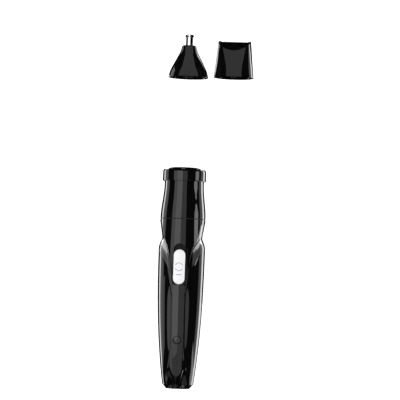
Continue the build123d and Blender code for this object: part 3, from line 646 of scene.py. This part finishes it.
def wedge(name, outline, place, lift=0.0, reach=20, steps=40):
    """Prism along X over a (y, z) outline. Its first point rises by lift for each squared millimetre of x."""
    n = len(outline)
    stations = [reach * (2 * k / steps - 1) for k in range(steps + 1)]
    vertices = []
    for x in stations:
        rises = [lift * min(x * x, 120)] + [0] * (n - 1)
        vertices += [(x, y + rise, z) for rise, (y, z) in zip(rises, outline)]
    faces = [list(range(n)), list(range(n * steps, n * (steps + 1)))]
    faces += [(i * n + k, i * n + (k + 1) % n, (i + 1) * n + (k + 1) % n, (i + 1) * n + k)
              for i in range(steps) for k in range(n)]
    return new_object(name, vertices, faces, place)


def make_trim_shell():
    """Detail head's shell, cut to a facet on both sides of the blades and hollow inside."""
    columns = 160
    outer = trim_grid(0, TRIM_TOP, 60, columns)
    inner = trim_grid(3.0, 15.5, 20, columns, inset=1.5)
    body = rings_solid("trim_shell_skin", [p for ring in outer for p in ring], columns, TRIM)
    front = [(17.2, 11.6), (TRIM_TOP, 1.2), (26, -3.0), (40, -3.0), (40, 40), (16.2, 40), (16.1, 14.0)]
    back = [(15.0, -13.4), (TRIM_TOP, -3.2), (26, -1.0), (40, -1.0), (40, -40), (15.0, -40)]
    body = combine(body, wedge("front_cut", front, TRIM, lift=FACET_LIFT), "DIFFERENCE")
    body = combine(body, wedge("back_cut", back, TRIM), "DIFFERENCE")
    for x in (-EAR_X, EAR_X):
        body = combine(body, block("ear", x - 0.8, x + 0.8, 20.5, EAR_TOP, -2.9, 1.0, TRIM), "UNION")
    hollow = rings_solid("hollow", [p for ring in inner for p in ring], columns, TRIM)
    body = combine(body, hollow, "DIFFERENCE")
    skirt = lathe("skirt", [(0, -1), (SKIRT_BORE_R, -1), (SKIRT_BORE_R, 3.4), (0, 3.4)], TRIM)
    body = combine(body, skirt, "DIFFERENCE")
    body = combine(body, block("blade_slot", -9.35, 9.35, 15.0, 40, -2.85, 0.35, TRIM), "DIFFERENCE")
    body = combine(body, block("yoke_room", -5.7, 5.7, 9.9, 21.5, -3.6, 3.6, TRIM), "DIFFERENCE")
    return finished(body, "trim_head", "black_gloss", replaces=["trim_shell"])


# ---------------------------------------------------------------- studio
STRIP_DISTANCE = 1.5         # metres
AIMED_AT = 75 * MM           # the softboxes stand round this point of the handle
FLOOR_REACH, FLOOR_Z = 4.0, -0.0002
# Each softbox: angle span about the handle's axis from straight above, positive to the right, then the span
# along the handle as angles from the perpendicular, then brightness. Each group lights its own objects.
SOFTBOXES = {
    "handle": {
        "left_rim": (-129, -116, -16, 40, 5.7),
        "left_fill": (-115, -90, -16, 20, 1.1),
        "left_soft": (-52, -34.5, -36, 19, 1.3),
        "left_key": (-34, -4, -19, 19, 2.0),
        "left_key_fade": (-34, -4, -23, -19.2, 1.4),
        "left_key_tail": (-34, -4, -36, -23.2, 0.76),
        "right_soft": (-3.5, 21, -36, 19, 0.76),
        "right_tail": (92, 126, -34, -14, 2.5),
        "right_fill": (102, 121, -13.5, 42, 0.85),
        "right_rim": (124, 142, -30, 42, 5.7),
        "right_soft_low": (21, 26, -27, -7, 0.76),
        "right_flute": (29, 39, -23, -7, 0.85),
        "right_rim_low": (142, 151, -30, -3, 2.5),
        "left_fill_low": (-90, -79, -16, -3, 1.0),
        "heel": (-60, 0, -62, -38, 0.4),
    },
    "collar": {
        "right_strip": (66, 89, 0.5, 14.5, 3.2),
    },
    "shells": {
        "right_strip_low": (66, 89, -1, 7, 3.2),
        "left_waist": (-138, -58, 17, 46, 9.0),
        "left_waist_mid": (-138, -50, 13.5, 17, 3.0),
        "left_waist_dim": (-130, -45, 5, 13.5, 1.5),
        "right_waist": (50, 135, 22.5, 46, 9.0),
        "right_waist_mid": (50, 135, 20.5, 22.5, 3.5),
        "right_waist_dim": (45, 130, 5, 20.5, 0.95),
    },
    "nose": {
        "nose_panel": (-55, 68, -12, 78, 0.74),
    },
    "trim": {
        "trim_panel": (-41, 51, -12, 78, 0.74),
        "trim_left_rim": (-130, -97, -25, 40, 2.4),
    },
    "heads": {
        "head_left_fill": (-125, -96, -25, 34, 1.4),
        "head_left_rim": (-150, -130, -25, 16, 3.5),
        "head_right_fill": (108, 126, -25, 40, 1.0),
        "head_right_rim": (128, 148, -25, 44, 4.0),
    },
    "metal": {
        "metal_centre": (-48, 28, -20, 40, 1.5),
    },
}
TAPERED = ("right_strip", "right_strip_low")           # these softboxes are elliptical


def placed(origin, x_axis, y_axis, z_axis):
    """World matrix of something at an origin, turned to three axes."""
    return Matrix.Translation(origin) @ Matrix((x_axis, y_axis, z_axis)).transposed().to_4x4()


def softbox(name, receivers, first, last, low, high, brightness):
    """Area light that fills an angle span as seen from the handle, and shines only on one group of objects."""
    light = bpy.data.lights.new(name, "AREA")
    light.shape = "ELLIPSE" if name in TAPERED else "RECTANGLE"
    about = math.radians((first + last) / 2)
    width = 2 * STRIP_DISTANCE * math.tan(math.radians(last - first) / 2)
    y0, y1 = (STRIP_DISTANCE * math.tan(math.radians(v)) for v in (low, high))
    light.size, light.size_y = width, y1 - y0
    area = width * (y1 - y0) * (math.pi / 4 if name in TAPERED else 1)     # of the ellipse or rectangle
    light.energy = math.pi * area * brightness
    obj = bpy.data.objects.new(name, light)
    bpy.context.scene.collection.objects.link(obj)
    out = Vector((math.sin(about), 0, math.cos(about)))
    centre = HANDLE + Vector((0, AIMED_AT, 0))
    place = centre + out * STRIP_DISTANCE + Vector((0, (y0 + y1) / 2, 0))
    along = Vector((0, 1, 0))
    obj.matrix_world = placed(place, along.cross(out), along, out)
    obj.visible_camera = False
    obj.visible_diffuse = False
    obj.light_linking.receiver_collection = receivers
    return obj


def make_studio():
    """Softboxes, white surroundings and a pale floor. The lit blades don't mirror in the black facet."""
    for node in ("fixed_blade", "moving_blade"):
        frame["nodes"][node].visible_glossy = False
    for group, boxes in SOFTBOXES.items():
        receivers = bpy.data.collections.new(group + "_lit")
        for obj in lit[group]:
            receivers.objects.link(obj)
        for name, spans in boxes.items():
            softbox(name, receivers, *spans)
    world = bpy.data.worlds.new("studio")
    bpy.context.scene.world = world
    world.use_nodes = True
    background = world.node_tree.nodes["Background"]
    background.inputs["Color"].default_value = (1, 1, 1, 1)
    background.inputs["Strength"].default_value = 1.05
    world.cycles_visibility.glossy = False
    mesh = bpy.data.meshes.new("floor")
    corners = [(-1, -1), (1, -1), (1, 1), (-1, 1)]
    mesh.from_pydata([(x * FLOOR_REACH, y * FLOOR_REACH, FLOOR_Z) for x, y in corners], [], [(0, 1, 2, 3)])
    floor = bpy.data.objects.new("floor", mesh)
    bpy.context.scene.collection.objects.link(floor)
    surface = material("paper", (0.9, 0.9, 0.9), 0.9)
    shader = surface.node_tree.nodes["Principled BSDF"]
    shader.inputs["Emission Color"].default_value = (1, 1, 1, 1)
    shader.inputs["Emission Strength"].default_value = 0.8
    dress(floor, surface)
    floor.visible_glossy = False
    floor.visible_shadow = False
    bpy.context.scene.view_settings.view_transform = "Standard"


# ---------------------------------------------------------------- camera
FRAME_WIDTH = 264 * MM
SENSOR_WIDTH = 36
AIM = Vector((10.8 * MM, 124.9 * MM, 0))     # the frame's middle, from the handle's tail
VIEW_DISTANCE = 1.5
VIEW_RIGHT = math.radians(5.0)       # the camera stands this far to the right of straight above
VIEW_BELOW = math.radians(2.0)       # and this far towards the tail
VIEW_ROLL = math.radians(2.1)        # and the handle leans this far to the right in the frame


def make_camera():
    camera = bpy.data.cameras.new("camera")
    camera.sensor_width = SENSOR_WIDTH
    camera.lens = SENSOR_WIDTH * VIEW_DISTANCE / FRAME_WIDTH
    obj = bpy.data.objects.new("camera", camera)
    bpy.context.scene.collection.objects.link(obj)
    back = Vector((math.tan(VIEW_RIGHT), -math.tan(VIEW_BELOW), 1)).normalized()
    up = Vector((-math.sin(VIEW_ROLL), math.cos(VIEW_ROLL), 0))
    right = up.cross(back).normalized()
    up = back.cross(right)
    obj.matrix_world = placed(HANDLE + AIM + back * VIEW_DISTANCE, right, up, back)
    camera.clip_end = 20
    bpy.context.scene.camera = obj


# ---------------------------------------------------------------- build
dress_cad_nodes()
make_front_shell()
make_back_shell()
make_lens()
make_collar()
make_button()
make_marks()
make_base_cap()
make_nose_shell()
make_skirt_keys("nose_skirt_keys", NOSE, "nose_head")
make_trim_shell()
make_skirt_keys("trim_skirt_keys", TRIM, "trim_head")
make_studio()
make_camera()
